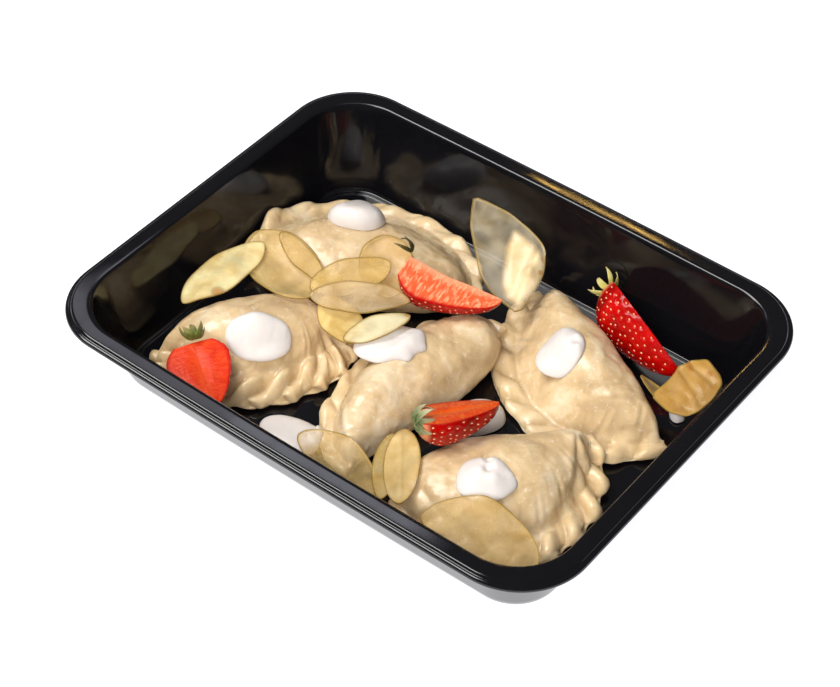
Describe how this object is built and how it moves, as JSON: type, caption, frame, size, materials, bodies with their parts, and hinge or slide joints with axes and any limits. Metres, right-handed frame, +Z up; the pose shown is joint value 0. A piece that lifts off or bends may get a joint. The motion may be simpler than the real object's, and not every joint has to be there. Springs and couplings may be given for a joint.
{
  "type": "pierogi ready meal in a tray",
  "caption": "Black plastic ready-meal tray filled with crimped pierogi, sour cream, dried fruit slices and cut strawberries.",
  "frame": {"origin": "centre of the tray's length and width, on the table under its flat bottom", "axes": "+X along the tray's long side, +Y across it away from the side that was nearest the viewer, +Z up"},
  "size_m": [0.227, 0.1796, 0.0401],
  "materials": {
    "tray": "glossy thermoformed black plastic",
    "dough": "boiled wheat dough, satin and slightly translucent",
    "cream": "thick sour cream, soft sheen",
    "dried_fruit": "thin translucent dried fruit, satin",
    "berry": "wet strawberry skin and cut flesh",
    "leaf": "dried green sepals"
  },
  "bodies": {
    "root": {"cream_1": "cream", "cream_2": "cream", "cream_3": "cream", "cream_4": "cream", "cream_5": "cream", "cream_6": "cream", "cream_7": "cream", "cream_8": "cream", "fruit_slice_back_1": "dried_fruit", "fruit_slice_back_2": "dried_fruit", "fruit_slice_corner": "dried_fruit", "fruit_slice_front_1": "dried_fruit", "fruit_slice_front_2": "dried_fruit", "fruit_slice_front_3": "dried_fruit", "fruit_slice_front_4": "dried_fruit", "fruit_slice_left_1": "dried_fruit", "fruit_slice_left_2": "dried_fruit", "fruit_slice_left_3": "dried_fruit", "fruit_slice_middle_1": "dried_fruit", "fruit_slice_middle_2": "dried_fruit", "fruit_slice_middle_3": "dried_fruit", "fruit_slice_middle_4": "dried_fruit", "fruit_slice_middle_5": "dried_fruit", "fruit_slice_right_1": "dried_fruit", "leaf_crown_1": "leaf", "leaf_crown_2": "leaf", "leaf_crown_3": "leaf", "leaf_crown_4": "leaf", "pierogi_1": "dough", "pierogi_2": "dough", "pierogi_3": "dough", "pierogi_4": "dough", "pierogi_5": "dough", "strawberry_1": "berry", "strawberry_2": "berry", "strawberry_3": "berry", "strawberry_4": "berry", "tray": "tray"}
  },
  "joints": []
}
